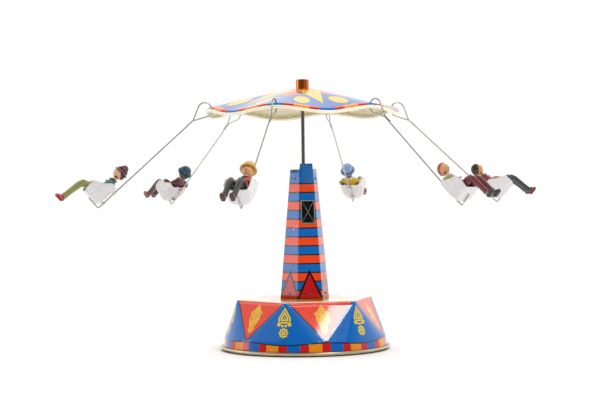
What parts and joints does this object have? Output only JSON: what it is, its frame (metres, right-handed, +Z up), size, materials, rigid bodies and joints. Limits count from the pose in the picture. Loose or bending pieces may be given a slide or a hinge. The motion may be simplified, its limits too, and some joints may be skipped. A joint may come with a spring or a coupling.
{
  "type": "wind-up toy carousel",
  "caption": "Wind-up printed-tin swing carousel: six-sided base and tower, wavy turning canopy, and seated riders flying out on wire hangers.",
  "frame": {"origin": "centre of the flat underside of the base, on the shaft's axis", "axes": "+Z up along the shaft; -Y out of the tower's window; +X along the first hanger; the winding key points along +Y"},
  "size_m": [0.4942, 0.433, 0.2691],
  "materials": {
    "printed_tin": "glossy printed tinplate",
    "bare_tin": "bare tinplate",
    "window_black": "gloss black",
    "bright_trim": "bright",
    "steel": "satin",
    "spring_steel": "blued",
    "brass": "satin",
    "copper_knob": "polished copper colour",
    "wire": "drawn wire",
    "chair_enamel": "white enamel",
    "rider_body": "painted plastic",
    "rider_head": "painted plastic"
  },
  "bodies": {
    "base": {"base_shell": "printed_tin", "base_plate": "bare_tin", "tower_shell": "printed_tin", "tower_foot_ring": "bare_tin", "window_panel": "window_black", "window_frame": "bright_trim", "tower_rivets": "bright_trim", "top_bearing": "bare_tin", "step_bearing": "brass", "motor_front_plate": "bare_tin", "motor_back_plate": "bare_tin", "motor_pillars": "steel", "mainspring": "spring_steel"},
    "rotor": {"main_shaft": "steel", "canopy": "printed_tin", "top_knob": "copper_knob", "canopy_hub": "brass", "thrust_collar": "steel", "shaft_pinion": "brass"},
    "great_wheel": {"great_wheel": "brass"},
    "click": {"click": "steel"},
    "arbor": {"key_arbor": "steel", "winding_key": "steel", "ratchet_wheel": "steel"},
    "swing_1": {"hanger_wire_1": "wire", "chair_1": "chair_enamel", "rider_1": "rider_body", "rider_head_1": "rider_head"},
    "swing_2": {"hanger_wire_2": "wire", "chair_2": "chair_enamel", "rider_2": "rider_body", "rider_head_2": "rider_head"},
    "swing_3": {"hanger_wire_3": "wire", "chair_3": "chair_enamel", "rider_3": "rider_body", "rider_head_3": "rider_head"},
    "swing_4": {"hanger_wire_4": "wire", "chair_4": "chair_enamel", "rider_4": "rider_body", "rider_head_4": "rider_head"},
    "swing_5": {"hanger_wire_5": "wire", "chair_5": "chair_enamel", "rider_5": "rider_body", "rider_head_5": "rider_head"},
    "swing_6": {"hanger_wire_6": "wire", "chair_6": "chair_enamel", "rider_6": "rider_body", "rider_head_6": "rider_head"}
  },
  "joints": [
    {"name": "rotor_spin", "type": "hinge", "parent": "base", "child": "rotor", "pos_m": [0, 0, 0.1], "axis": [0, 0, 1], "continuous": true},
    {"name": "great_wheel_turn", "type": "hinge", "parent": "base", "child": "great_wheel", "pos_m": [0, 0.005, 0.024], "axis": [0, 1, 0], "continuous": true},
    {"name": "key_turn", "type": "hinge", "parent": "base", "child": "arbor", "pos_m": [0, 0.05, 0.024], "axis": [0, 1, 0], "continuous": true},
    {"name": "click_lift", "type": "hinge", "parent": "great_wheel", "child": "click", "pos_m": [0.014, 0.0067, 0.031], "axis": [0, 1, 0], "range_deg": [-12, 0], "stiffness_Nm_per_rad": 0.002, "springref_deg": 11.46},
    {"name": "swing_1_fly", "type": "hinge", "parent": "rotor", "child": "swing_1", "pos_m": [0.09929, 0, 0.23893], "axis": [0, -1, 0], "range_deg": [-68, 22]},
    {"name": "swing_2_fly", "type": "hinge", "parent": "rotor", "child": "swing_2", "pos_m": [0.04965, 0.08599, 0.23893], "axis": [0.866, -0.5, 0], "range_deg": [-68, 22]},
    {"name": "swing_3_fly", "type": "hinge", "parent": "rotor", "child": "swing_3", "pos_m": [-0.04965, 0.08599, 0.23893], "axis": [0.866, 0.5, 0], "range_deg": [-68, 22]},
    {"name": "swing_4_fly", "type": "hinge", "parent": "rotor", "child": "swing_4", "pos_m": [-0.09929, 0, 0.23893], "axis": [0, 1, 0], "range_deg": [-68, 22]},
    {"name": "swing_5_fly", "type": "hinge", "parent": "rotor", "child": "swing_5", "pos_m": [-0.04965, -0.08599, 0.23893], "axis": [-0.866, 0.5, 0], "range_deg": [-68, 22]},
    {"name": "swing_6_fly", "type": "hinge", "parent": "rotor", "child": "swing_6", "pos_m": [0.04965, -0.08599, 0.23893], "axis": [-0.866, -0.5, 0], "range_deg": [-68, 22]}
  ],
  "couplings": [
    {"joint": "great_wheel_turn", "follows": "rotor_spin", "ratio": -0.2}
  ]
}
